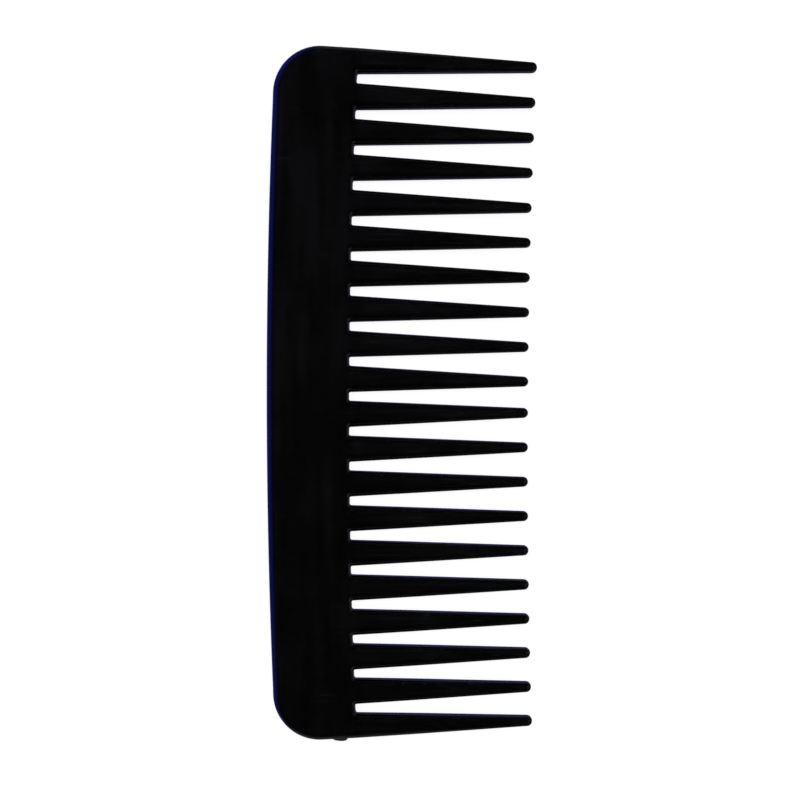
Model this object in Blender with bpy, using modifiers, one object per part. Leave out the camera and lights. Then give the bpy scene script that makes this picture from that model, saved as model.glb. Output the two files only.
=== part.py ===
"""Wide tooth comb for detangling hair: a bowed spine with twenty tapered teeth.

The comb lies flat on its back face. X runs from the spine to the tooth tips, Y along
the spine and Z through the thickness. The origin is under the middle of the comb.

The real comb is a single moulding. Its members are separate solids here: the spine,
which ends at the gullet line between the teeth, and one solid for each tooth.
"""

import math

import bmesh
import bpy
from mathutils import Vector

MM = 0.001

# Driving dimensions of the outline.
TOOTH_COUNT = 20
PITCH = 9.3 * MM  # from tooth to tooth, along the gullet line
SPINE_DEPTH = 22 * MM  # from the back edge to the gullet line, at mid-length
TOOTH_LENGTH = 47.5 * MM  # from the gullet line to the tip line, at mid-length
ROOT_WIDTH = 7 * MM
END_ROOT_WIDTH = 6.75 * MM  # the two end teeth are a little slimmer at the root
TIP_WIDTH = 2.5 * MM  # between the two flanks where they would meet the tip line
BOW_RADIUS = 1865 * MM  # the back edge and the gullet line bow to the same radius
TIP_BOW_RADIUS = 2280 * MM
CORNER_RADIUS = 12.5 * MM
END_SLOPE = math.radians(3.65)  # the ends of the spine run inwards to the end teeth
INNER_SLANT = math.radians(0.53)  # every tooth leans towards mid-length,
SLANT_PER_PITCH = math.radians(0.17)  # and the outer ones lean further

# Driving dimensions of the thickness and the rounded edges.
THICKNESS = 4.8 * MM  # of the spine and the inner part of each tooth
TIP_THICKNESS = 3.2 * MM
THINNING_FROM = 0.35  # share of a tooth's length where it starts to get thinner
FLANK_MIDDLE = 0.7  # share of the length of one more section, before the rounded tip
SPINE_EDGE_RADIUS = 2.2 * MM
ROOT_EDGE_RADIUS = 2 * MM  # along a tooth's flanks, at its root
TIP_EDGE_RADIUS = 0.7 * MM

# The stub left where the moulding was cut from its runner, on the end at -Y.
GATE_FROM_GULLET = 4.3 * MM  # to the middle of the stub
GATE_LENGTH = 4.5 * MM
GATE_HEIGHT = 0.75 * MM
GATE_THICKNESS = 1.8 * MM
GATE_CUT_SHARE = 0.64  # the cut face's length, as a share of the stub's
GATE_LOW_SHARE = 0.6  # the cut face's height at its back end, as a share of the full height
GATE_ROOT = 1.5 * MM  # how far the stub's solid starts inside the spine

JOINT_GAP = 0.3 * MM  # between a tooth's root face and the spine's gullet face

# How finely the round stretches are divided.
BOW_STEPS = 24
CORNER_STEPS = 10
EDGE_STEPS = 4
TIP_STEPS = 4

PLASTIC_COLOUR = (0.006, 0.006, 0.008, 1.0)
PLASTIC_ROUGHNESS = 0.32


def bow(y, radius):
    """How far an arc of this radius has curved away at a distance y from mid-length."""
    return radius - math.sqrt(radius * radius - y * y)


END_TOOTH_Y = (TOOTH_COUNT - 1) / 2 * PITCH
WIDTH = SPINE_DEPTH + TOOTH_LENGTH + bow(END_TOOTH_Y, TIP_BOW_RADIUS)
BACK_X = -WIDTH / 2
GULLET_X = BACK_X + SPINE_DEPTH
MID_PLANE = THICKNESS / 2


def remove_all_objects():
    for obj in list(bpy.data.objects):
        bpy.data.objects.remove(obj, do_unlink=True)


def make_collection(name):
    collection = bpy.data.collections.new(name)
    bpy.context.scene.collection.children.link(collection)
    return collection


def make_plastic():
    material = bpy.data.materials.new("black_moulded_plastic")
    material.use_nodes = True
    shader = material.node_tree.nodes["Principled BSDF"]
    shader.inputs["Base Color"].default_value = PLASTIC_COLOUR
    shader.inputs["Roughness"].default_value = PLASTIC_ROUGHNESS
    shader.inputs["Metallic"].default_value = 0.0
    return material


def object_from(bm, name, collection):
    bmesh.ops.recalc_face_normals(bm, faces=bm.faces)
    mesh = bpy.data.meshes.new(name)
    bm.to_mesh(mesh)
    bm.free()
    obj = bpy.data.objects.new(name, mesh)
    collection.objects.link(obj)
    return obj


def smooth_faces(obj, sharp_from=math.radians(35)):
    obj.data.shade_smooth()
    obj.data.set_sharp_from_angle(angle=sharp_from)


# Spine


def end_corner():
    """The point where the upper end of the spine meets the outer flank of the end tooth."""
    y = END_TOOTH_Y + END_ROOT_WIDTH / 2
    return Vector((GULLET_X + bow(y, BOW_RADIUS), y))


def corner_arc():
    """The rounded upper corner, from the back edge round to the sloping end."""
    meets_gullet = end_corner()
    # The arc's centre is one radius inside the end's line and one inside the back edge.
    along = Vector((-math.cos(END_SLOPE), math.sin(END_SLOPE)))
    inwards = Vector((-math.sin(END_SLOPE), -math.cos(END_SLOPE)))
    back = BACK_X + bow(meets_gullet.y - CORNER_RADIUS, BOW_RADIUS)
    start = meets_gullet + inwards * CORNER_RADIUS
    reach = (start.x - back - CORNER_RADIUS) / math.cos(END_SLOPE)
    centre = start + along * reach
    turn_from, turn_to = math.pi, math.pi / 2 - END_SLOPE
    arc = []
    for step in range(CORNER_STEPS + 1):
        angle = turn_from + (turn_to - turn_from) * step / CORNER_STEPS
        arc.append(centre + CORNER_RADIUS * Vector((math.cos(angle), math.sin(angle))))
    return arc


def spine_outline():
    """The spine from above, as two lists: the rounded rim, and the gullet line."""
    upper = corner_arc()
    back_end = upper[0].y
    back = []
    for step in range(1, BOW_STEPS):
        y = -back_end + 2 * back_end * step / BOW_STEPS
        back.append(Vector((BACK_X + bow(y, BOW_RADIUS), y)))
    lower = [Vector((point.x, -point.y)) for point in reversed(upper)]
    rim = lower + back + upper
    gullet_end = end_corner().y
    gullet = []
    for step in range(BOW_STEPS + 1):
        y = gullet_end - 2 * gullet_end * step / BOW_STEPS
        gullet.append(Vector((GULLET_X + bow(y, BOW_RADIUS), y)))
    return rim, gullet


def make_spine(collection, cutters):
    """A flat plate of the spine's outline, rounded everywhere but along the gullets."""
    rim, gullet = spine_outline()
    bm = bmesh.new()
    corners = [bm.verts.new((p.x, p.y, 0)) for p in rim + gullet]
    face = bm.faces.new(corners)
    raised = bmesh.ops.extrude_face_region(bm, geom=[face])["geom"]
    top = [item for item in raised if isinstance(item, bmesh.types.BMVert)]
    bmesh.ops.translate(bm, verts=top, vec=(0, 0, THICKNESS))
    weight = bm.edges.layers.float.new("bevel_weight_edge")
    gullet_points = {(round(p.x, 6), round(p.y, 6)) for p in gullet}
    for edge in bm.edges:
        level = abs(edge.verts[0].co.z - edge.verts[1].co.z) < 1e-9
        on_gullet = all((round(v.co.x, 6), round(v.co.y, 6)) in gullet_points for v in edge.verts)
        edge[weight] = 1.0 if level and not on_gullet else 0.0
    spine = object_from(bm, "spine", collection)
    rounded = spine.modifiers.new("rounded_rim", "BEVEL")
    rounded.limit_method = "WEIGHT"
    rounded.width = SPINE_EDGE_RADIUS
    rounded.segments = EDGE_STEPS
    joined = spine.modifiers.new("gate_stub", "BOOLEAN")
    joined.operation = "UNION"
    joined.object = make_gate_stub(cutters)
    smooth_faces(spine)
    return spine


def make_gate_stub(cutters):
    """The cut-off gate: a low wedge on the spine's lower end, highest near the teeth."""
    bpy.ops.mesh.primitive_cube_add(size=1)
    stub = bpy.context.object
    stub.name = "gate_stub_solid"
    for collection in list(stub.users_collection):
        collection.objects.unlink(stub)
    cutters.objects.link(stub)
    centre_x = GULLET_X + bow(END_TOOTH_Y, BOW_RADIUS) - GATE_FROM_GULLET
    end_y = -end_corner().y - GATE_FROM_GULLET * math.tan(END_SLOPE)
    for vertex in stub.data.vertices:
        on_cut_face = vertex.co.y < 0
        towards_back = vertex.co.x < 0
        vertex.co.x *= GATE_LENGTH
        vertex.co.y = GATE_ROOT
        vertex.co.z *= GATE_THICKNESS
        if on_cut_face:
            vertex.co.x *= GATE_CUT_SHARE
            vertex.co.y = -GATE_HEIGHT * (GATE_LOW_SHARE if towards_back else 1.0)
    stub.location = (centre_x, end_y, MID_PLANE)
    stub.hide_render = True
    stub.display_type = "WIRE"
    return stub


# Teeth


def half_thickness(share):
    """Half the tooth's thickness at a share of the way from its root to its tip."""
    thinned = max(0.0, share - THINNING_FROM) / (1 - THINNING_FROM)
    return (THICKNESS + (TIP_THICKNESS - THICKNESS) * thinned) / 2


def edge_radius(share):
    return ROOT_EDGE_RADIUS + (TIP_EDGE_RADIUS - ROOT_EDGE_RADIUS) * share


def flank_stations(length, root_width):
    """Points along one flank and round to the apex: (along, out from the axis, angle, share).

    The angle is that of the outline's outward normal, from square to the axis to along it.
    """
    taper = math.atan((root_width - TIP_WIDTH) / 2 / length)
    tip_radius = TIP_WIDTH / 2 * math.cos(taper) / (1 - math.sin(taper))
    tip_centre = length - tip_radius
    stations = []
    for along in (JOINT_GAP, length * THINNING_FROM, length * FLANK_MIDDLE):
        out = TIP_WIDTH / 2 + (length - along) * math.tan(taper)
        stations.append((along, out, taper, along / length))
    for step in range(TIP_STEPS + 1):
        angle = taper + (math.pi / 2 - taper) * step / TIP_STEPS
        along = tip_centre + tip_radius * math.sin(angle)
        stations.append((along, tip_radius * math.cos(angle), angle, along / length))
    return stations


def edge_profile(share):
    """The flank's section from the lower face to the upper one: (inwards, height)."""
    half, radius = half_thickness(share), edge_radius(share)
    upper = []
    for step in range(EDGE_STEPS + 1):
        angle = math.pi / 2 * step / EDGE_STEPS
        inwards = radius * (1 - math.cos(angle))
        upper.append((inwards, half - radius + radius * math.sin(angle)))
    lower = [(inwards, -height) for inwards, height in reversed(upper)]
    return lower + upper


def tooth_mesh(length, root_width):
    """One tooth along +X from its root, with its sections lofted from the root to the apex."""
    bm = bmesh.new()
    stations = flank_stations(length, root_width)
    rows = {1: [], -1: []}
    for along, out, angle, share in stations[:-1]:
        for side in rows:
            row = []
            for inwards, height in edge_profile(share):
                x = along - inwards * math.sin(angle)
                y = side * (out - inwards * math.cos(angle))
                row.append(bm.verts.new((x, y, height)))
            rows[side].append(row)
    along, _, _, share = stations[-1]
    apex = [bm.verts.new((along - inwards, 0, height)) for inwards, height in edge_profile(share)]
    for side in rows:
        rows[side].append(apex)
        for row, further in zip(rows[side], rows[side][1:]):
            for low in range(len(row) - 1):
                bm.faces.new((row[low], further[low], further[low + 1], row[low + 1]))
    for level in (0, -1):  # the lower face and the upper one
        for left, right, left_on, right_on in zip(rows[1], rows[-1], rows[1][1:], rows[-1][1:]):
            corners = [left[level], right[level], right_on[level], left_on[level]]
            bm.faces.new(corners if left_on is not right_on else corners[:3])
    bm.faces.new(rows[1][0] + rows[-1][0][::-1])
    return bm


def make_tooth(number, collection):
    """Tooth 1 is at the +Y end. Each stands on the gullet line and leans to mid-length."""
    from_middle = (TOOTH_COUNT + 1) / 2 - number
    y = from_middle * PITCH
    length = TOOTH_LENGTH + bow(y, TIP_BOW_RADIUS) - bow(y, BOW_RADIUS)
    root_width = END_ROOT_WIDTH if number in (1, TOOTH_COUNT) else ROOT_WIDTH
    tooth = object_from(tooth_mesh(length, root_width), f"tooth_{number:02d}", collection)
    slant = INNER_SLANT + SLANT_PER_PITCH * abs(from_middle)
    tooth.location = (GULLET_X + bow(y, BOW_RADIUS), y, MID_PLANE)
    tooth.rotation_euler.z = -math.copysign(slant, y)
    smooth_faces(tooth)
    return tooth


def main():
    remove_all_objects()
    comb = make_collection("wide_tooth_comb")
    cutters = make_collection("helper_solids")
    plastic = make_plastic()
    frame = bpy.data.objects.new("comb_frame", None)
    comb.objects.link(frame)
    pieces = [make_spine(comb, cutters)]
    for number in range(1, TOOTH_COUNT + 1):
        pieces.append(make_tooth(number, comb))
    for piece in pieces:
        piece.parent = frame
        piece.data.materials.append(plastic)


main()
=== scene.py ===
"""The looks of the wide tooth comb: one moulding of jet black plastic with a satin gloss.

The moulding's skin is worked out as one surface and then cut at the tooth roots into the
members that the CAD names: the spine and the teeth. Their walls meet point to point and
share their normals, so no seam shows, and each member is a closed mesh of its own.
"""

import math
from collections import defaultdict
from dataclasses import dataclass

import bmesh
import bpy
import numpy as np
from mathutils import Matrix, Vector
from mathutils.geometry import delaunay_2d_cdt


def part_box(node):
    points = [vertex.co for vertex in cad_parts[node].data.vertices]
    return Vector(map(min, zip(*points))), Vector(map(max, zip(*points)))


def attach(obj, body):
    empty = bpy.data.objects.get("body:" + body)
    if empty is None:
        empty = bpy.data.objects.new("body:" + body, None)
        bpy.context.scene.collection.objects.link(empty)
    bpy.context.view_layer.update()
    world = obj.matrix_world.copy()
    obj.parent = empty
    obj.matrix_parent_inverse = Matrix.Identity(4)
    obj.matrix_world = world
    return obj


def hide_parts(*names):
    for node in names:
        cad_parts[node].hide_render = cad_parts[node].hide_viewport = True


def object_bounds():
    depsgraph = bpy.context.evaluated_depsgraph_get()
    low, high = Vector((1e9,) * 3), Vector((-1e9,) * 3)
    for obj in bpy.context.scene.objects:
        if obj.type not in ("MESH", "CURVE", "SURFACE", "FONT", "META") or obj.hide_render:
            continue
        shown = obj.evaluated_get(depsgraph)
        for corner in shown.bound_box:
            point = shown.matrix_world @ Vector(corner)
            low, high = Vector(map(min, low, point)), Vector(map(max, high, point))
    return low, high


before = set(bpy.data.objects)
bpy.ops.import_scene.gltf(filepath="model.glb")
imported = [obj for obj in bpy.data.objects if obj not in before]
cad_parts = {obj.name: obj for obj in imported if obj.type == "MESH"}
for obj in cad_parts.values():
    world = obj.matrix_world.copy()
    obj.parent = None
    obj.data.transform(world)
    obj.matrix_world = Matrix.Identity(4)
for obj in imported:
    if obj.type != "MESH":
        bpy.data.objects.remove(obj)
CAD_LOW, CAD_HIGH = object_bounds()

MM = 0.001

# Read from the frame.
THICKNESS = CAD_HIGH.z - CAD_LOW.z
MID_PLANE = (CAD_HIGH.z + CAD_LOW.z) / 2
BACK_X = CAD_LOW.x
GULLET_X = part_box("spine")[1].x
TOOTH_NAMES = sorted(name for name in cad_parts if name.startswith("tooth_"))

# The outline, beyond what the frame's boxes say.
JOINT_GAP = 0.3 * MM  # how far a CAD tooth starts from the gullet line
BOW_RADIUS = 1865 * MM  # of the back edge
CORNER_RADIUS = 12.5 * MM
END_SLOPE = math.radians(3.65)
TIP_WIDTH = 2.5 * MM
GULLET_FILLET = 0.45 * MM
SEAM = 0.8 * MM  # from the gullet line to where a tooth's own mesh begins
ROOT_SLICE = 1 * MM  # the CAD points this near a tooth's lowest X are its root face
APEX_SLICE = 0.01 * MM  # and those this near its highest X are its apex

# The section of the wall. A rounding is a quarter ellipse: it reaches in and drops down.
RIM_ROUNDING = 2.2 * MM
GULLET_ROUNDING = 1.3 * MM
ROOT_DROP = 2.05 * MM
TIP_DROP = 0.7 * MM
REACH_SHARE = 0.7  # of a tooth's half width
TIP_THICKNESS = 3.2 * MM
THINNING_FROM = 0.35
NOSE_LENGTH = 1.6 * MM  # over which the tip rounds off through the thickness
NOSE_DROP = 0.35 * MM
WALL_DRAFT = math.tan(math.radians(3))  # the wall leans in from the parting line
PARTING_RIDGE = 0.035 * MM
PARTING_HALF_WIDTH = 0.06 * MM
END_BLEND = 6 * MM  # of the spine's end, where its rounding grows into the end tooth's
GRAIN_BLEND = 4 * MM  # past the gullet line, where the grain turns to run along the teeth

# A painted cool reflection on the back edge: a blue specular tint and a raised specular level
# painted on its upper rounding, strongest on the wall that faces this way.
PAINTED_SHEEN_AZIMUTH = math.radians(165)
PAINTED_SHEEN_FADE = math.radians(35)
PAINTED_SHEEN_END = math.radians(75)  # how far the wall turns before the painted reflection is gone
PAINTED_SHEEN_AT_LOW_END = 0.45  # the painted reflection's strength at the -Y end, as a share of that at the +Y end, as if its light were nearer the +Y end

# Across the rounding it rises, stays full and is gone by these shares of the way in.
PAINTED_SHEEN_FULL_FROM = 0.1
PAINTED_SHEEN_FULL_TO = 0.55
PAINTED_SHEEN_GONE_BY = 0.98

# The stub where the moulding was cut from its runner.
GATE_FROM_GULLET = 4.3 * MM
GATE_LENGTH = 4.5 * MM
GATE_HEIGHT = 0.72 * MM
GATE_SHOULDER = 0.2  # the share of its length, from the back, where the first rise ends
GATE_CREST = 0.55  # where it reaches its full height
GATE_SLOPE_SHARE = 0.55  # how much of its height it gains on the slope up to the crest
GATE_FALL = 0.24  # how much of its length the last fall takes
GATE_HALF_THICKNESS = 0.9 * MM
GATE_RIPPLES = ((0.05, 9.1, 0), (0.03, 23.7, 1))  # share of the height, radians per mm, phase

# Shallow marks of the mould on the flat faces.
SINK_DEPTH = 0.03 * MM  # where the thick tooth roots shrank as they cooled
SINK_RADIUS = 1.7 * MM
SINK_REACH = 4 * SINK_RADIUS  # farther out the sink is too shallow to count
SINK_FROM_GULLET = 3.2 * MM
EJECTOR_RADIUS = 2.25 * MM
EJECTOR_FLOOR = 0.97  # the radius of a mark's floor, as a share of its rim's
EJECTOR_DEPTH = 0.07 * MM
EJECTOR_COUNT = 6
EJECTOR_SPACING = 29 * MM
EJECTOR_FROM_BACK = 11.5 * MM

# How finely the surface is divided.
ROUNDING_STEPS = 9
FLANK_STEPS = 16
TIP_STEPS = 8
FILLET_STEPS = 4
WALL_STEPS = 3
CORNER_STEPS = 28
END_STEPS = 40
BACK_STEPS = 70
PLATE_SPACING = 1.6 * MM
PLATE_CLEARANCE = 0.35 * PLATE_SPACING  # from the plate's edge to its nearest inner point
MARK_CLEARANCE = 0.3 * MM
CIRCLE_STEPS = 40

# The studio and the camera.
FLOOR_RADIUS = 8
BACKDROP_RADIUS = 7.9
FLOOR_GAP = 0.2 * MM  # between the comb and the floor
CAMERA_PLACE = (7.33 * MM, 13.02 * MM, 351.07 * MM)
CAMERA_TURN = (-2.277, 1.227, 0.205)  # in degrees
CAMERA_LENS = 59.06
CAMERA_SENSOR = 36


@dataclass
class Station:
    """One upright line of the wall: its foot on the parting line, and how its edges round."""

    point: Vector
    outward: Vector
    reach: float
    drop: float
    half: float
    stub: float = 0.0  # how far the gate's stub stands out here
    sheen: float = 0.0  # how strongly the rounding shows the painted cool reflection


def mix(a, b, share):
    return a + (b - a) * share


def smooth_step(share):
    share = min(1.0, max(0.0, share))
    return share * share * (3 - 2 * share)


def flat(vector):
    return Vector((vector.x, vector.y))


# The outline


class Tooth:
    """A tooth's axis and widths, read off its CAD solid."""

    def __init__(self, name):
        self.name = name
        low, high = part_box(name)
        points = [vertex.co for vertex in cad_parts[name].data.vertices]
        root = [flat(p) for p in points if p.x < low.x + ROOT_SLICE]
        apex = [flat(p) for p in points if p.x > high.x - APEX_SLICE]
        root_centre = sum(root, Vector((0, 0))) / len(root)
        apex_centre = sum(apex, Vector((0, 0))) / len(apex)
        self.axis = (apex_centre - root_centre).normalized()
        self.side = Vector((-self.axis.y, self.axis.x))
        self.origin = root_centre - self.axis * JOINT_GAP
        self.length = (apex_centre - self.origin).length
        across = [self.side.dot(p - root_centre) for p in root]
        root_half = (max(across) - min(across)) / 2
        self.taper = math.atan((root_half - TIP_WIDTH / 2) / (self.length - JOINT_GAP))
        widening = math.cos(self.taper) / (1 - math.sin(self.taper))
        self.tip_radius = TIP_WIDTH / 2 * widening

    def half_width(self, along):
        return TIP_WIDTH / 2 + (self.length - along) * math.tan(self.taper)

    def flank_point(self, along, sign):
        return self.origin + self.axis * along + self.side * sign * self.half_width(along)

    def outward(self, angle, sign):
        return self.axis * math.sin(angle) + self.side * sign * math.cos(angle)

    def half_thickness(self, along):
        thinned = max(0.0, along / self.length - THINNING_FROM) / (1 - THINNING_FROM)
        half = mix(THICKNESS, TIP_THICKNESS, thinned) / 2
        into_nose = max(0.0, 1 - (self.length - along) / NOSE_LENGTH)
        return half - NOSE_DROP * (1 - math.sqrt(1 - into_nose * into_nose))

    def station(self, along, point, angle, sign):
        width = max(self.half_width(along), self.tip_radius)
        return Station(
            point=point,
            outward=self.outward(angle, sign),
            reach=REACH_SHARE * width,
            drop=mix(ROOT_DROP, TIP_DROP, along / self.length),
            half=self.half_thickness(along),
        )

    def side_stations(self, sign):
        """From the seam near the root along one flank and round to the apex."""
        centre = self.length - self.tip_radius
        last = centre + self.tip_radius * math.sin(self.taper)
        stations = []
        for step in range(FLANK_STEPS):
            along = mix(SEAM, last, step / FLANK_STEPS)
            stations.append(
                self.station(along, self.flank_point(along, sign), self.taper, sign)
            )
        for step in range(TIP_STEPS + 1):
            angle = mix(self.taper, math.pi / 2, step / TIP_STEPS)
            outward = self.outward(angle, sign)
            point = self.origin + self.axis * centre + outward * self.tip_radius
            along = centre + self.tip_radius * math.sin(angle)
            stations.append(self.station(along, point, angle, sign))
        return stations


def gap_stations(above, below):
    """The gullet between two teeth: a fillet, the spine's front wall, and a fillet."""
    start = above.flank_point(0, -1)
    end = below.flank_point(0, 1)
    along_wall = (end - start).normalized()
    wall = Vector((-along_wall.y, along_wall.x))
    first = above.outward(above.taper, -1)
    last = below.outward(below.taper, 1)
    root_reach = REACH_SHARE * above.half_width(0)
    stations = []

    def add(point, outward, share):
        stations.append(
            Station(
                point=point,
                outward=outward.normalized(),
                reach=mix(root_reach, GULLET_ROUNDING, smooth_step(share)),
                drop=mix(ROOT_DROP, GULLET_ROUNDING, smooth_step(share)),
                half=THICKNESS / 2,
            )
        )

    def add_fillet(corner, before, after, falling):
        """An arc that fills the corner, from the wall that faces before to the next."""
        centre = corner + (before + after) * GULLET_FILLET / (1 + before.dot(after))
        turn = before.angle(after)
        for step in range(FILLET_STEPS + 1):
            share = step / FILLET_STEPS
            outward = (
                before * math.sin((1 - share) * turn) + after * math.sin(share * turn)
            ) / math.sin(turn)
            add(centre - outward * GULLET_FILLET, outward, share if falling else 1 - share)

    add_fillet(start, first, wall, True)
    wall_start = stations[-1].point.copy()
    wall_end = end - along_wall * (wall_start - start).length
    for step in range(1, WALL_STEPS):
        add(wall_start.lerp(wall_end, step / WALL_STEPS), wall, 1.0)
    add_fillet(end, wall, last, False)
    return stations


def gate_height(from_gullet, along):
    """The stub's height: from the back a step, a gentle slope and a steep fall to the tooth."""
    share = (GATE_FROM_GULLET + GATE_LENGTH / 2 - from_gullet) / GATE_LENGTH
    step = smooth_step(share / GATE_SHOULDER)
    slope = smooth_step(share / GATE_CREST)
    rise = mix(step, slope, GATE_SLOPE_SHARE)
    fall = smooth_step((1 - share) / GATE_FALL)
    torn = 1.0
    for height, per_mm, phase in GATE_RIPPLES:
        torn += height * math.sin(along / MM * per_mm + phase)
    return GATE_HEIGHT * rise * fall * torn


def spine_end(tooth, sign):
    """From the back edge round the corner and along the sloping end to the tooth."""
    meets = tooth.flank_point(0, sign)
    along = Vector((-math.cos(END_SLOPE), sign * math.sin(END_SLOPE)))
    inwards = Vector((-math.sin(END_SLOPE), -sign * math.cos(END_SLOPE)))
    start = meets + inwards * CORNER_RADIUS
    back = back_x(abs(start.y))
    centre = start + along * ((start.x - back - CORNER_RADIUS) / math.cos(END_SLOPE))
    root_reach = REACH_SHARE * tooth.half_width(0)
    stations = []
    for step in range(CORNER_STEPS + 1):
        angle = mix(math.pi, math.pi / 2 - END_SLOPE, step / CORNER_STEPS)
        outward = Vector((math.cos(angle), sign * math.sin(angle)))
        stations.append(back_station(centre + outward * CORNER_RADIUS, outward))
    corner_end = stations[-1].point.copy()
    for step in range(1, END_STEPS + 1):
        share = step / END_STEPS
        point = corner_end.lerp(meets, share)
        from_gullet = (meets - point).length
        near_tooth = smooth_step(1 - from_gullet / END_BLEND)
        stations.append(
            Station(
                point=point,
                outward=-inwards,
                reach=mix(RIM_ROUNDING, root_reach, near_tooth),
                drop=mix(RIM_ROUNDING, ROOT_DROP, near_tooth),
                half=THICKNESS / 2,
                stub=gate_height(from_gullet, point.x) if sign < 0 else 0.0,
            )
        )
    return stations


def back_x(y):
    """The back edge's place at a distance y from mid-length."""
    return BACK_X + BOW_RADIUS - math.sqrt(BOW_RADIUS * BOW_RADIUS - y * y)


def back_station(point, outward):
    """On the back edge or a corner. The painted reflection fades where the wall turns to the ends,
    and is painted weaker towards the -Y end.
    """
    azimuth = math.atan2(outward.y, outward.x) % (2 * math.pi)
    faces_sheen = smooth_step((PAINTED_SHEEN_END - abs(azimuth - PAINTED_SHEEN_AZIMUTH)) / PAINTED_SHEEN_FADE)
    along_back = (point.y - CAD_LOW.y) / (CAD_HIGH.y - CAD_LOW.y)
    return Station(
        point=point,
        outward=outward,
        reach=RIM_ROUNDING,
        drop=RIM_ROUNDING,
        half=THICKNESS / 2,
        sheen=faces_sheen * mix(PAINTED_SHEEN_AT_LOW_END, 1, along_back),
    )


def rim_stations(teeth):
    """The spine's outer wall, from the last tooth round the back to the first."""
    upper = spine_end(teeth[0], 1)
    lower = spine_end(teeth[-1], -1)
    stations = list(reversed(lower))
    first, last = lower[0].point.y, upper[0].point.y
    for step in range(1, BACK_STEPS):
        y = mix(first, last, step / BACK_STEPS)
        point = Vector((back_x(y), y))
        outward = point - Vector((BACK_X + BOW_RADIUS, 0))
        stations.append(back_station(point, outward.normalized()))
    return stations + upper


# The skin


def wall_section(station):
    """The wall from the parting line up to the face, as (inwards, upwards) steps."""
    upright = station.half - station.drop
    lean = WALL_DRAFT * upright
    section = [(-PARTING_RIDGE, 0.0), (0.0, PARTING_HALF_WIDTH), (lean, upright)]
    for step in range(1, ROUNDING_STEPS + 1):
        angle = math.pi / 2 * step / ROUNDING_STEPS
        inwards = lean + (station.reach - lean) * (1 - math.cos(angle))
        section.append((inwards, upright + station.drop * math.sin(angle)))
    if station.stub:
        section = [(inwards - stub_at(station, up), up) for inwards, up in section]
    return section


def stub_at(station, up):
    """How far the stub stands out this far above the parting line, fading at its edge."""
    return station.stub * (1 - smooth_step(up / GATE_HALF_THICKNESS - 0.5))


def sheen_across(share):
    """The painted reflection's strength at a share of the way from the wall to the face."""
    rise = smooth_step(share / PAINTED_SHEEN_FULL_FROM)
    return rise * smooth_step((PAINTED_SHEEN_GONE_BY - share) / (PAINTED_SHEEN_GONE_BY - PAINTED_SHEEN_FULL_TO))


class Skin:
    """The points of the whole surface, and its faces with the member each belongs to."""

    def __init__(self):
        self.points = []
        self.edges = []  # 1 on the wall, falling to 0 where its rounding meets a face
        self.sheens = []  # the painted blue reflection: 1 on the back edge's upper rounding, and 0 off it
        self.faces = defaultdict(list)
        self.caps = defaultdict(list)

    def point(self, flat_place, z, edge=0.0, sheen=0.0):
        self.points.append(Vector((flat_place.x, flat_place.y, z)))
        self.edges.append(edge)
        self.sheens.append(sheen)
        return len(self.points) - 1

    def column(self, station):
        """The wall's points at one station, from the lower face up to the upper one."""
        section = wall_section(station)
        below = [(inwards, -up) for inwards, up in reversed(section[1:])]
        column = []
        for inwards, up in below + section:
            place = station.point - station.outward * inwards
            share = inwards / station.reach
            # The painted blue reflection, on the upper half of the wall only.
            sheen = station.sheen * sheen_across(share) if up > 0 else 0.0
            column.append(self.point(place, MID_PLANE + up, 1 - smooth_step(share), sheen))
        return column

    def wall(self, columns, member):
        for one, other in zip(columns, columns[1:]):
            for low in range(len(one) - 1):
                self.faces[member].append(
                    (one[low], other[low], other[low + 1], one[low + 1])
                )

    def middle_between(self, one, other):
        place = (self.points[one] + self.points[other]) / 2
        return self.point(place, place.z)


def add_tooth(skin, tooth):
    """One tooth's wall and faces. Gives its root columns and the middles of its root."""
    upper = [skin.column(station) for station in tooth.side_stations(1)]
    lower = [skin.column(station) for station in tooth.side_stations(-1)[:-1]]
    skin.wall(upper + lower[::-1], tooth.name)
    middles = {}
    for level in (0, -1):
        row = [skin.middle_between(a[level], b[level]) for a, b in zip(upper, lower)]
        middles[level] = row[0]
        apex = upper[-1][level]
        for i in range(len(row) - 1):
            for rail in (upper, lower):
                skin.faces[tooth.name].append(
                    (rail[i][level], rail[i + 1][level], row[i + 1], row[i])
                )
        for last in (upper[-2], lower[-1]):
            skin.faces[tooth.name].append((last[level], apex, row[-1]))
    cap = upper[0] + [middles[-1]] + lower[0][::-1] + [middles[0]]
    skin.caps[tooth.name].append(cap)
    skin.caps["spine"].append(cap)
    return upper[0], lower[0], middles


def distance_to_loop(places, loop):
    """Each place's distance to the nearest side of the closed loop."""
    start = loop
    along = np.roll(loop, -1, axis=0) - start
    offset = places[:, None, :] - start[None, :, :]
    share = (offset * along).sum(-1) / (along * along).sum(-1)
    nearest = offset - np.clip(share, 0, 1)[..., None] * along
    return np.sqrt((nearest * nearest).sum(-1)).min(1)


def plate_grid(loop):
    """Evenly staggered places in the loop's box, clear of its sides. All in millimetres."""
    low, high = loop.min(0), loop.max(0)
    spacing = PLATE_SPACING / MM
    row_height = spacing * math.sqrt(3) / 2
    places = []
    for row in range(int((high[1] - low[1]) / row_height) + 1):
        shift = spacing / 2 * (row % 2)
        for step in range(int((high[0] - low[0]) / spacing) + 1):
            places.append((low[0] + shift + step * spacing, low[1] + row * row_height))
    places = np.array(places)
    return places[distance_to_loop(places, loop) > PLATE_CLEARANCE / MM]


def ejector_marks():
    """Centres of the round marks on the lower face, along the middle of the spine."""
    x = BACK_X + EJECTOR_FROM_BACK
    first = -(EJECTOR_COUNT - 1) / 2
    return [Vector((x, (first + i) * EJECTOR_SPACING)) for i in range(EJECTOR_COUNT)]


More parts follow.
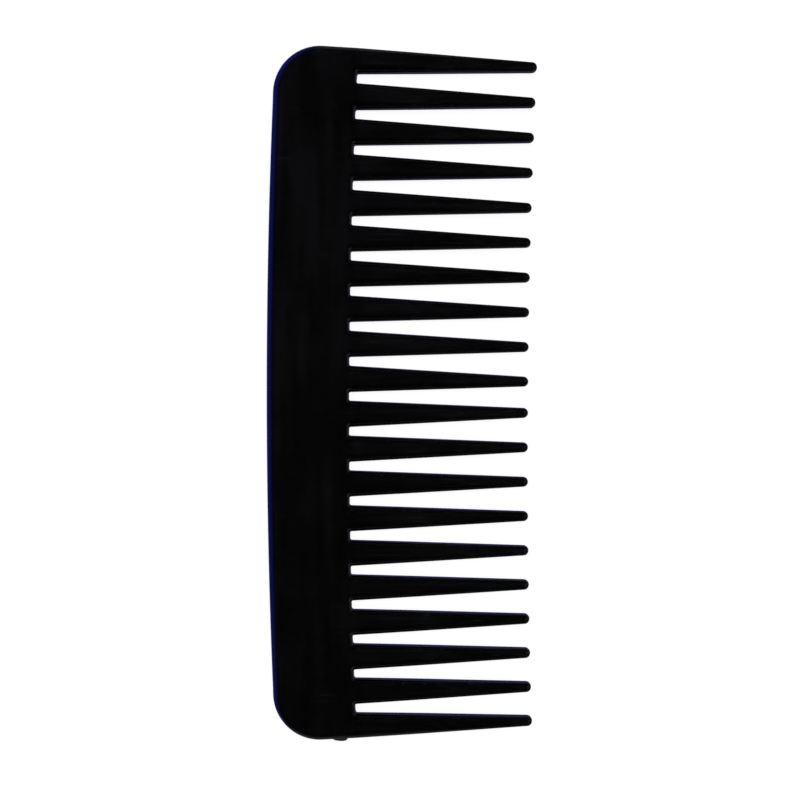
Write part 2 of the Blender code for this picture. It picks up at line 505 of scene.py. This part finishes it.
def plate_layout(loop, marks):
    """The plate's places in millimetres, its edge's own first, and the lines between them."""
    places = [tuple(place) for place in loop]
    lines = [(i, (i + 1) % len(loop)) for i in range(len(loop))]
    for centre in marks:
        for radius in (EJECTOR_RADIUS, EJECTOR_RADIUS * EJECTOR_FLOOR):
            first = len(places)
            for step in range(CIRCLE_STEPS):
                angle = 2 * math.pi * step / CIRCLE_STEPS
                around = Vector((math.cos(angle), math.sin(angle))) * radius
                places.append(tuple((centre + around) / MM))
                lines.append((first + step, first + (step + 1) % CIRCLE_STEPS))
    for place in plate_grid(loop):
        from_marks = [(Vector(place) * MM - centre).length for centre in marks]
        if all(abs(far - EJECTOR_RADIUS) > MARK_CLEARANCE for far in from_marks):
            places.append(tuple(place))
    return [Vector(place) for place in places], lines


def add_plate(skin, edge, level, teeth):
    """One flat face of the spine inside the given edge, with its shallow marks."""
    side = 1 if level == -1 else -1
    marks = ejector_marks() if side < 0 else []
    loop = np.array([flat(skin.points[i]) / MM for i in edge])
    places, lines = plate_layout(loop, marks)
    spots, _, triangles, origins = delaunay_2d_cdt(places, lines, [], 1, 1e-5)[:4]
    mark_floor = EJECTOR_RADIUS * (1 + EJECTOR_FLOOR) / 2
    index = []
    for spot, origin in zip(spots, origins):
        known = [i for i in origin if i < len(edge)]
        if known:
            index.append(edge[known[0]])
        else:
            place = spot * MM
            depth = sink_at(place, teeth)
            if any((place - centre).length < mark_floor for centre in marks):
                depth += EJECTOR_DEPTH
            index.append(skin.point(place, MID_PLANE + side * (THICKNESS / 2 - depth)))
    for triangle in triangles:
        skin.faces["spine"].append(tuple(index[i] for i in triangle))


def sink_at(place, teeth):
    """How far the face has sunk here, behind the tooth roots."""
    depth = 0.0
    for tooth in teeth:
        away = (place - (tooth.origin - tooth.axis * SINK_FROM_GULLET)).length
        if away < SINK_REACH:
            depth += SINK_DEPTH * math.exp(-((away / SINK_RADIUS) ** 2) / 2)
    return depth


def build_skin():
    skin = Skin()
    teeth = [Tooth(name) for name in TOOTH_NAMES]
    roots = [add_tooth(skin, tooth) for tooth in teeth]
    rim = [skin.column(station) for station in rim_stations(teeth)]
    gaps = [
        [skin.column(station) for station in gap_stations(above, below)]
        for above, below in zip(teeth, teeth[1:])
    ]
    skin.wall([roots[-1][1]] + rim + [roots[0][0]], "spine")
    for gap, above, below in zip(gaps, roots, roots[1:]):
        skin.wall([above[1]] + gap + [below[0]], "spine")
    for level in (0, -1):
        edge = [column[level] for column in rim]
        for number, (upper, lower, middles) in enumerate(roots):
            edge += [upper[level], middles[level], lower[level]]
            if number < len(gaps):
                edge += [column[level] for column in gaps[number]]
        add_plate(skin, edge, level, teeth)
    return skin


# The members


def member_mesh(skin, member):
    """A closed mesh of one member, each point keeping its index in the skin as its source."""
    bm = bmesh.new()
    verts = {}
    source = bm.verts.layers.int.new("source")

    def vert(i):
        if i not in verts:
            verts[i] = bm.verts.new(skin.points[i])
            verts[i][source] = i
        return verts[i]

    for face in skin.faces[member]:
        bm.faces.new([vert(i) for i in face]).smooth = True
    for cap in skin.caps[member]:
        bm.faces.new([vert(i) for i in cap])
    bmesh.ops.recalc_face_normals(bm, faces=bm.faces)
    mesh = bpy.data.meshes.new(member)
    bm.to_mesh(mesh)
    bm.free()
    values = {
        "edge": [skin.edges[i] for i in verts],
        # where the back edge's blue reflection is painted on
        "sheen": [skin.sheens[i] for i in verts],
        "tooth": [tooth_share(skin.points[i]) for i in verts],
    }
    for name, per_point in values.items():
        attribute = mesh.attributes.new(name, "FLOAT", "POINT")
        attribute.data.foreach_set("value", per_point)
    return mesh


def tooth_share(place):
    """0 on the spine and 1 on a tooth, with a soft change just past the gullet line."""
    return smooth_step((place.x - GULLET_X) / GRAIN_BLEND)


def share_normals(skin, meshes):
    """Shades every member with the normals of the whole skin, so that no seam shows."""
    total = np.zeros((len(skin.points), 3))
    sources = {}
    for name, mesh in meshes.items():
        source = np.empty(len(mesh.vertices), int)
        mesh.attributes["source"].data.foreach_get("value", source)
        sources[name] = source
        for polygon in mesh.polygons:
            if polygon.use_smooth:
                total[source[polygon.vertices]] += np.array(polygon.normal) * polygon.area
    total /= np.maximum(np.linalg.norm(total, axis=1, keepdims=True), 1e-12)
    for name, mesh in meshes.items():
        normals = []
        for polygon in mesh.polygons:
            for corner in polygon.vertices:
                smooth = polygon.use_smooth
                normals.append(total[sources[name][corner]] if smooth else polygon.normal)
        mesh.normals_split_custom_set(normals)
        mesh.attributes.remove(mesh.attributes["source"])


def make_members(material):
    skin = build_skin()
    meshes = {name: member_mesh(skin, name) for name in ["spine"] + TOOTH_NAMES}
    share_normals(skin, meshes)
    for name, mesh in meshes.items():
        mesh.materials.append(material)
        member = bpy.data.objects.new("moulded_" + name, mesh)
        bpy.context.scene.collection.objects.link(member)
        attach(member, "root")
        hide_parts(name)


# The plastic


class Shading:
    """A short way to add nodes to a tree. An input takes a number, a colour or a node's output."""

    def __init__(self, tree):
        self.tree = tree

    def add(self, kind, settings=None, **inputs):
        node = self.tree.nodes.new(kind)
        for name, value in (settings or {}).items():
            setattr(node, name, value)
        for name, value in inputs.items():
            socket = self.socket(node, name)
            if isinstance(value, bpy.types.NodeSocket):
                self.tree.links.new(value, socket)
            else:
                socket.default_value = value
        return node.outputs[0]

    def socket(self, node, name):
        """A node's input by its number, as in in2, or by its name with underscores."""
        if name.startswith("in"):
            return node.inputs[int(name[2:])]
        return node.inputs[name.replace("_", " ").title()]

    def maths(self, operation, first, second=0.0):
        return self.add("ShaderNodeMath", {"operation": operation}, in0=first, in1=second)

    def blend(self, share, first, second):
        settings = {"data_type": "FLOAT"}
        return self.add("ShaderNodeMix", settings, in0=share, in2=first, in3=second)

    def tint(self, share, first, second):
        node = self.tree.nodes.new("ShaderNodeMix")
        node.data_type = "RGBA"
        self.tree.links.new(share, node.inputs["Factor"])
        for socket, value in ((node.inputs[6], first), (node.inputs[7], second)):
            if isinstance(value, bpy.types.NodeSocket):
                self.tree.links.new(value, socket)
            else:
                socket.default_value = (*value, 1)
        return node.outputs[2]

    def attribute(self, name):
        node = self.tree.nodes.new("ShaderNodeAttribute")
        node.attribute_name = name
        return node.outputs["Fac"]

    def window(self, value, low, high):
        """0 below low, 1 above high, and smooth between."""
        settings = {"interpolation_type": "SMOOTHSTEP"}
        return self.add("ShaderNodeMapRange", settings, in0=value, in1=low, in2=high)

    def noise(self, place, scale, detail, turn=0.0, roughness=0.5, offset=0.0):
        """Noise with its own number of features to the millimetre along X, Y and Z."""
        mapped = self.add(
            "ShaderNodeMapping",
            {"vector_type": "POINT"},
            Vector=place,
            Location=(offset, offset * 0.37, offset * 0.71),
            Rotation=(0, 0, math.radians(turn)),
            Scale=[per_mm / MM for per_mm in scale],
        )
        return self.add(
            "ShaderNodeTexNoise",
            {"noise_dimensions": "3D"},
            Vector=mapped,
            Scale=1.0,
            Detail=detail,
            Roughness=roughness,
        )

    def bend(self, place, per_mm, by):
        """The same place, shifted a little to and fro by slow noise."""
        mapped = self.add(
            "ShaderNodeMapping", {"vector_type": "POINT"}, Vector=place, Scale=[per_mm / MM] * 3
        )
        slow = self.add("ShaderNodeTexNoise", {}, Vector=mapped, Scale=1.0, Detail=1.0)
        shift = self.add(
            "ShaderNodeVectorMath",
            {"operation": "SUBTRACT"},
            in0=slow.node.outputs["Color"],
            in1=(0.5, 0.5, 0.5),
        )
        return self.add(
            "ShaderNodeVectorMath",
            {"operation": "MULTIPLY_ADD"},
            in0=shift,
            in1=(by, by, by),
            in2=place,
        )


def hairlines(shading, place, length, width, turn, offset, rarity):
    """Fine straight scratches of about this length and width, in millimetres."""
    scale = (1 / length, 1 / width, 1 / width)
    field = shading.noise(place, scale, turn=turn, detail=1.0, offset=offset)
    return shading.window(field, rarity, rarity + 0.05)


def flow_marks(shading, place, tooth):
    """Soft streaks of the melt's flow, along the spine and along the teeth: 0 to 1."""
    clouds = shading.noise(place, (0.06, 0.06, 0.06), detail=4.0)
    along_spine = shading.noise(place, (0.35, 0.03, 0.2), detail=3.0, offset=3.0)
    along_teeth = shading.noise(place, (0.03, 0.8, 0.5), detail=3.0, offset=7.0)
    flow = shading.blend(tooth, along_spine, along_teeth)
    return shading.window(shading.blend(0.5, clouds, flow), 0.35, 0.65)


def scratch_marks(shading, place, tooth):
    """Handling scratches at three angles on the spine, and combing ones along the teeth."""
    bent = shading.bend(place, per_mm=0.03, by=9 * MM)
    handling = hairlines(shading, bent, 17, 0.16, 71, 2.0, 0.69)
    for turn, offset, rarity in ((96, 5.0, 0.70), (-28, 9.0, 0.74)):
        more = hairlines(shading, bent, 12, 0.14, turn, offset, rarity)
        handling = shading.maths("MAXIMUM", handling, more)
    combing = hairlines(shading, place, 22, 0.13, 0, 21.0, 0.63)
    return shading.blend(tooth, handling, combing)


def edge_scuffs(shading, place, edge):
    """Rubbed patches, only on the edges."""
    patches = shading.noise(place, (0.5, 0.5, 0.5), detail=4.0, roughness=0.65, offset=31.0)
    on_edge = shading.window(edge, 0.3, 0.6)
    return shading.maths("MULTIPLY", shading.window(patches, 0.56, 0.66), on_edge)


def jet_black_plastic():
    """Moulded polystyrene: a fine satin grain on the faces, polished edges, combing wear, and a
    painted blue reflection on the back edge.
    """
    material = bpy.data.materials.new("jet_black_plastic")
    material.use_nodes = True
    shader = material.node_tree.nodes["Principled BSDF"]
    shader.inputs["IOR"].default_value = 1.55
    shading = Shading(material.node_tree)
    link = material.node_tree.links.new
    place = shading.tree.nodes.new("ShaderNodeTexCoord").outputs["Object"]
    edge = shading.attribute("edge")
    # Where the back edge's blue reflection is painted on.
    sheen = shading.attribute("sheen")
    tooth = shading.attribute("tooth")

    shade = flow_marks(shading, place, tooth)
    scratches = scratch_marks(shading, place, tooth)
    scuffs = edge_scuffs(shading, place, edge)
    grain = shading.noise(place, (1.7, 1.7, 1.7), detail=3.0, roughness=0.6, offset=11.0)
    ripple = shading.noise(place, (0.11, 0.11, 0.11), detail=1.0, offset=17.0)

    colour = shading.tint(shade, (0.003, 0.003, 0.0038), (0.0065, 0.0065, 0.0078))
    colour = shading.tint(edge, colour, (0.0012, 0.0012, 0.0018))
    colour = shading.tint(scratches, colour, (0.016, 0.016, 0.0175))
    colour = shading.tint(scuffs, colour, (0.009, 0.009, 0.010))
    link(colour, shader.inputs["Base Color"])

    roughness = shading.blend(shade, 0.27, 0.36)
    roughness = shading.maths("ADD", roughness, shading.maths("MULTIPLY", grain, 0.05))
    roughness = shading.blend(edge, roughness, 0.2)
    roughness = shading.maths("ADD", roughness, shading.maths("MULTIPLY", scratches, 0.16))
    roughness = shading.maths("ADD", roughness, shading.maths("MULTIPLY", scuffs, 0.14))
    link(roughness, shader.inputs["Roughness"])

    # Painted reflection: the back edge's upper rounding gets a blue specular tint and a raised
    # specular level, painted on where the cool light falls.
    painted_blue_tint = shading.window(sheen, 0.0, 0.1)
    link(shading.tint(painted_blue_tint, (1, 1, 1), (0.01, 0.02, 1.0)), shader.inputs["Specular Tint"])
    outermost = shading.maths("MULTIPLY", edge, edge)
    painted_sheen_level = shading.blend(sheen, 0.5, shading.blend(outermost, 0.6, 2.0))
    link(painted_sheen_level, shader.inputs["Specular IOR Level"])

    relief = shading.maths("MULTIPLY", grain, shading.blend(edge, 0.006, 0.0015))
    relief = shading.maths("ADD", relief, shading.maths("MULTIPLY", ripple, 0.05))
    relief = shading.maths("SUBTRACT", relief, shading.maths("MULTIPLY", scratches, 0.004))
    bump = shading.add("ShaderNodeBump", Strength=1.0, Distance=MM, Height=relief)
    link(bump, shader.inputs["Normal"])
    return material


# The studio


def make_stage():
    """An evenly bright floor, and a backdrop as bright as the floor is far away."""
    bpy.ops.mesh.primitive_circle_add(vertices=96, radius=FLOOR_RADIUS, fill_type="NGON")
    floor = bpy.context.object
    floor.name = "pale_floor"
    floor.location.z = CAD_LOW.z - FLOOR_GAP
    bpy.ops.mesh.primitive_uv_sphere_add(segments=64, ring_count=32, radius=BACKDROP_RADIUS)
    backdrop = bpy.context.object
    backdrop.name = "pale_backdrop"
    backdrop.visible_diffuse = False
    for stage, base in ((floor, 0.5), (backdrop, 0.0)):
        material = bpy.data.materials.new(stage.name)
        material.use_nodes = True
        shader = material.node_tree.nodes["Principled BSDF"]
        shader.inputs["Base Color"].default_value = (base, base, base, 1)
        shader.inputs["Roughness"].default_value = 1.0
        shader.inputs["Specular IOR Level"].default_value = 0.0
        shader.inputs["Emission Color"].default_value = (1, 1, 1, 1)
        shader.inputs["Emission Strength"].default_value = 0.9
        stage.data.materials.append(material)
        stage.visible_glossy = False


def add_key_light():
    """A broad soft light overhead. The gloss doesn't mirror it, so the faces stay black."""
    light = bpy.data.lights.new("overhead", "AREA")
    light.size = 1.6
    light.energy = 7.2
    key = bpy.data.objects.new("overhead", light)
    key.location = (0.1, 0.2, 1.4)
    key.rotation_euler = (-key.location).to_track_quat("-Z", "Y").to_euler()
    bpy.context.scene.collection.objects.link(key)
    key.visible_camera = False
    key.visible_glossy = False


def surround():
    """What the gloss mirrors: dark overhead, a low glow, two soft boxes, cool light below."""
    world = bpy.data.worlds.new("studio_surround")
    bpy.context.scene.world = world
    world.use_nodes = True
    world.cycles_visibility.diffuse = False
    shading = Shading(world.node_tree)
    link = world.node_tree.links.new
    direction = shading.tree.nodes.new("ShaderNodeTexCoord").outputs["Generated"]
    parts = shading.tree.nodes.new("ShaderNodeSeparateXYZ")
    link(direction, parts.inputs[0])
    x, y, z = parts.outputs
    upright = shading.maths("MULTIPLY", z, z)
    # The direction's level part, a trace too long so that it is never 0.
    level = shading.maths("SQRT", shading.maths("SUBTRACT", 1.0001, upright))

    def facing(azimuth, inner, outer):
        """1 within the inner angle of a level direction, 0 past the outer. All in degrees."""
        along_x = shading.maths("MULTIPLY", x, math.cos(math.radians(azimuth)))
        along_y = shading.maths("MULTIPLY", y, math.sin(math.radians(azimuth)))
        share = shading.maths("DIVIDE", shading.maths("ADD", along_x, along_y), level)
        return shading.window(share, math.cos(math.radians(outer)), math.cos(math.radians(inner)))

    def between(low_start, low_end, high_start, high_end):
        """1 in a band of heights, as the sine of the elevation."""
        rising = shading.window(z, low_start, low_end)
        return shading.maths("MULTIPLY", rising, shading.window(z, high_end, high_start))

    colour = shading.tint(between(-0.02, 0.04, 0.09, 0.36), (0, 0, 0), (0.2, 0.21, 0.235))
    front_box = shading.maths("MULTIPLY", facing(-45, 12, 35), between(0.04, 0.15, 0.35, 0.6))
    colour = shading.tint(front_box, colour, (0.4, 0.41, 0.45))
    back_box = shading.maths("MULTIPLY", facing(158, 25, 60), between(0.08, 0.25, 0.6, 0.95))
    colour = shading.tint(back_box, colour, (0.52, 0.54, 0.62))
    below = shading.window(z, 0.02, -0.05)
    colour = shading.tint(below, colour, (0.17, 0.175, 0.2))
    cool_side = shading.maths("MULTIPLY", facing(160, 25, 65), between(-0.95, -0.8, -0.35, -0.2))
    colour = shading.tint(cool_side, colour, (0.08, 0.09, 0.48))
    straight_down = shading.window(z, -0.8, -0.93)
    under_colour = shading.tint(
        shading.window(y, -0.08, 0.08), (0.13, 0.08, 0.2), (0.05, 0.06, 0.4)
    )
    colour = shading.tint(straight_down, colour, under_colour)
    link(colour, world.node_tree.nodes["Background"].inputs["Color"])


def place_camera():
    data = bpy.data.cameras.new("camera")
    data.lens = CAMERA_LENS
    data.sensor_width = CAMERA_SENSOR
    data.clip_start = 10 * MM
    camera = bpy.data.objects.new("camera", data)
    camera.location = CAMERA_PLACE
    camera.rotation_euler = [math.radians(angle) for angle in CAMERA_TURN]
    bpy.context.scene.collection.objects.link(camera)
    bpy.context.scene.camera = camera


make_members(jet_black_plastic())
make_stage()
add_key_light()
surround()
place_camera()
bpy.context.scene.view_settings.view_transform = "Standard"
